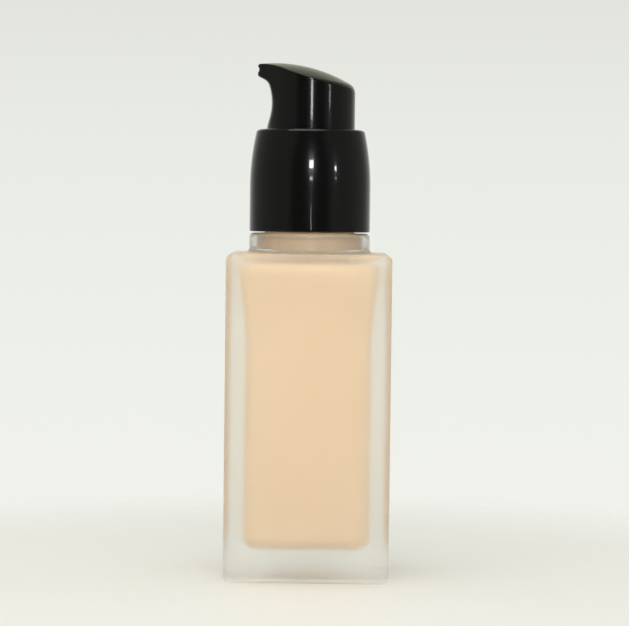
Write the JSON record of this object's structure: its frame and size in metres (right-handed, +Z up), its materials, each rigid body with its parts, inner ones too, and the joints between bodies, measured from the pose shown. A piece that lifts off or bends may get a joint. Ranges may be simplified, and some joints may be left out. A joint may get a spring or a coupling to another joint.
{
  "type": "foundation bottle",
  "caption": "Square frosted-glass bottle of liquid foundation with a round black collar and a press-down pump head with a short nozzle.",
  "frame": {"origin": "centre of the bottle's standing face", "axes": "+Z up along the bottle's and the pump's axis, nozzle towards -X at rest, the broad front face of the square bottle towards -Y"},
  "size_m": [0.033, 0.033, 0.104],
  "materials": {
    "frosted_glass": "clear soda-lime glass, lightly frosted",
    "foundation": "opaque beige liquid make-up",
    "gasket_foam": "white foamed polyethylene",
    "natural_plastic": "natural polypropylene, moulded",
    "tube_plastic": "natural polyethylene, extruded",
    "piston_plastic": "white soft polyethylene, moulded",
    "stainless_steel": "drawn and polished stainless steel",
    "black_moulding": "black polypropylene, as moulded",
    "gloss_black": "high-gloss black plastic, pad lightly textured"
  },
  "bodies": {
    "bottle": {"glass_bottle": "frosted_glass", "foundation_fill": "foundation"},
    "pump_body": {"pump_housing": "natural_plastic", "chaplet": "natural_plastic", "neck_gasket": "gasket_foam", "dip_tube": "tube_plastic", "return_spring": "stainless_steel"},
    "closure": {"closure_cap": "black_moulding", "collar": "gloss_black"},
    "rod": {"valve_rod": "natural_plastic"},
    "head": {"pump_head": "gloss_black", "stem": "natural_plastic"},
    "piston": {"piston": "piston_plastic"},
    "ball": {"inlet_ball": "stainless_steel"}
  },
  "joints": [
    {"name": "pump_rise", "type": "slide", "parent": "bottle", "child": "pump_body", "axis": [0, 0, 1], "range_m": [0, 0.0032]},
    {"name": "closure_turn", "type": "hinge", "parent": "pump_body", "child": "closure", "pos_m": [0, 0, 0.076], "axis": [0, 0, 1], "range_deg": [0, 360]},
    {"name": "press", "type": "slide", "parent": "pump_body", "child": "rod", "axis": [0, 0, -1], "range_m": [0, 0.0045], "stiffness_N_per_m": 1000, "springref_m": -0.005, "deforming": ["return_spring"]},
    {"name": "head_turn", "type": "hinge", "parent": "rod", "child": "head", "pos_m": [0, 0, 0.0905], "axis": [0, 0, 1], "continuous": true},
    {"name": "piston_slide", "type": "slide", "parent": "pump_body", "child": "piston", "axis": [0, 0, -1], "range_m": [0, 0.0039]},
    {"name": "ball_lift", "type": "slide", "parent": "pump_body", "child": "ball", "axis": [0, 0, 1], "range_m": [0, 0.0015]}
  ],
  "couplings": [
    {"joint": "pump_rise", "follows": "closure_turn", "m_per_rad": 0.00050532},
    {"joint": "piston_slide", "follows": "press", "ratio": 0.86667}
  ]
}
